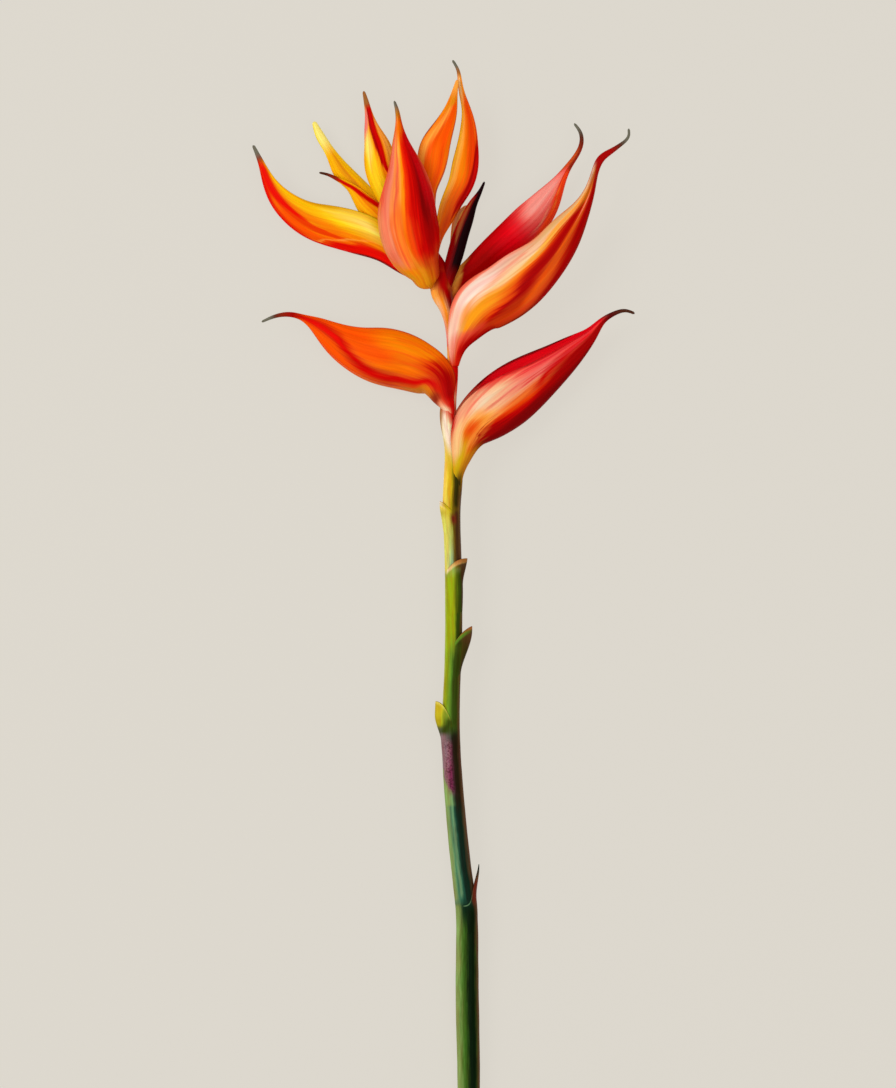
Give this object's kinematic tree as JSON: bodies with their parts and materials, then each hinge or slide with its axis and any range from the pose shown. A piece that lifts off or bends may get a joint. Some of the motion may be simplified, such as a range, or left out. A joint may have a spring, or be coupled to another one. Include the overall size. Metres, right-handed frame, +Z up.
{
  "type": "heliconia flower",
  "caption": "Cut heliconia stem lying down, with boat-shaped orange, red and pink bracts and small florets on a long green shoot.",
  "frame": {"origin": "middle of the bounding box's underside, on the surface the cut flower lies on", "axes": "+Y runs from the cut end of the stem to the head, +Z is up, away from the surface, and +X is to the right, seen from above with the head up"},
  "size_m": [0.211, 0.6004, 0.0454],
  "materials": {
    "green_shoot": "satin",
    "red_bract": "satin",
    "orange_bract": "satin",
    "pink_bract": "satin",
    "yellow_bract": "satin",
    "dark_bract": "satin"
  },
  "bodies": {
    "root": {"stem": "green_shoot", "bract_low_right": "red_bract", "bract_low_left": "orange_bract", "bract_mid_right": "orange_bract", "bract_back_right": "pink_bract", "bract_left": "orange_bract", "bract_front": "red_bract", "bract_back_left": "yellow_bract", "bract_top_left": "orange_bract", "bract_top_right": "orange_bract", "floret_yellow": "yellow_bract", "floret_red": "dark_bract", "floret_dark": "dark_bract", "floret_amber": "yellow_bract"}
  },
  "joints": []
}
